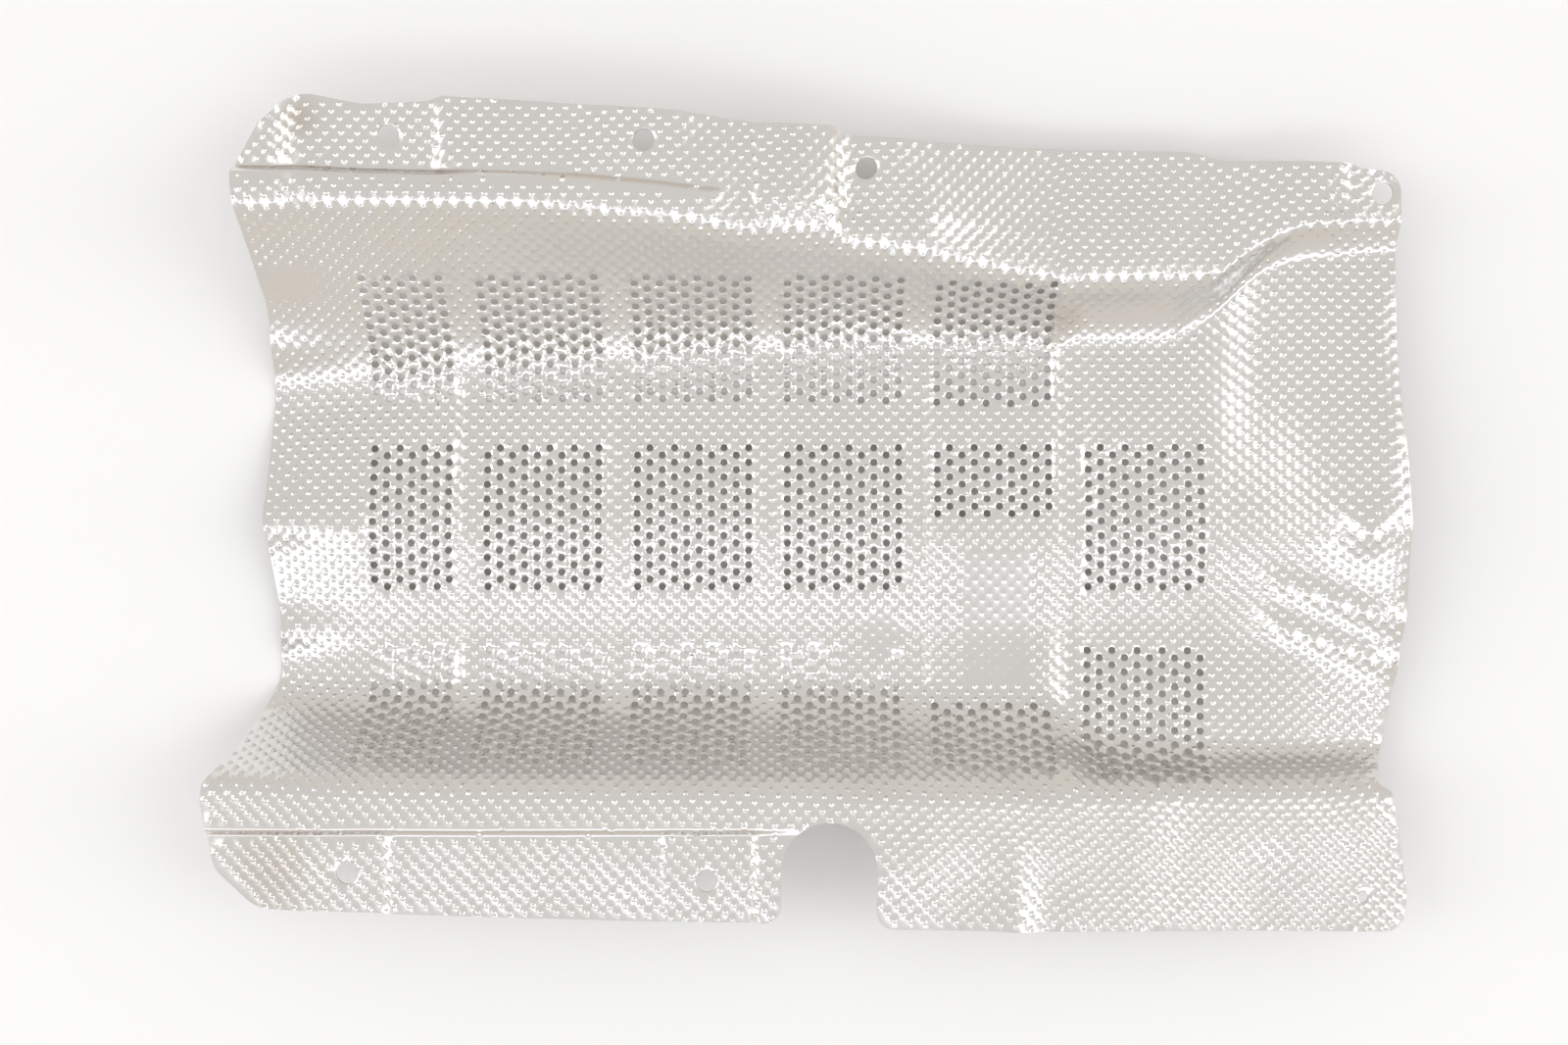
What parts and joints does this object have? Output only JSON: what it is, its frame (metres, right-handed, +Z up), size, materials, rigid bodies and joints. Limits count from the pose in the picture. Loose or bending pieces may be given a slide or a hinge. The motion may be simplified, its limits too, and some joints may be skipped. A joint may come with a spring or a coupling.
{
  "type": "heat shield",
  "caption": "Pressed heat shield of thin embossed aluminium: a perforated trough between an upper and a lower flange, with fixing holes and a round-topped notch in the lower edge",
  "frame": {"origin": "Middle of the box under the part, on the surface that the two valleys of the trough floor lie on.", "axes": "+X along the trough to the ramped end panel, +Y across it to the upper flange, +Z up out of the open side of the trough."},
  "size_m": [0.4887, 0.3361, 0.0552],
  "materials": {
    "sheet": "embossed mill-finish sheet, lightly soiled, bright on the knobs"
  },
  "bodies": {
    "root": {"heat_shield": "sheet"}
  },
  "joints": []
}
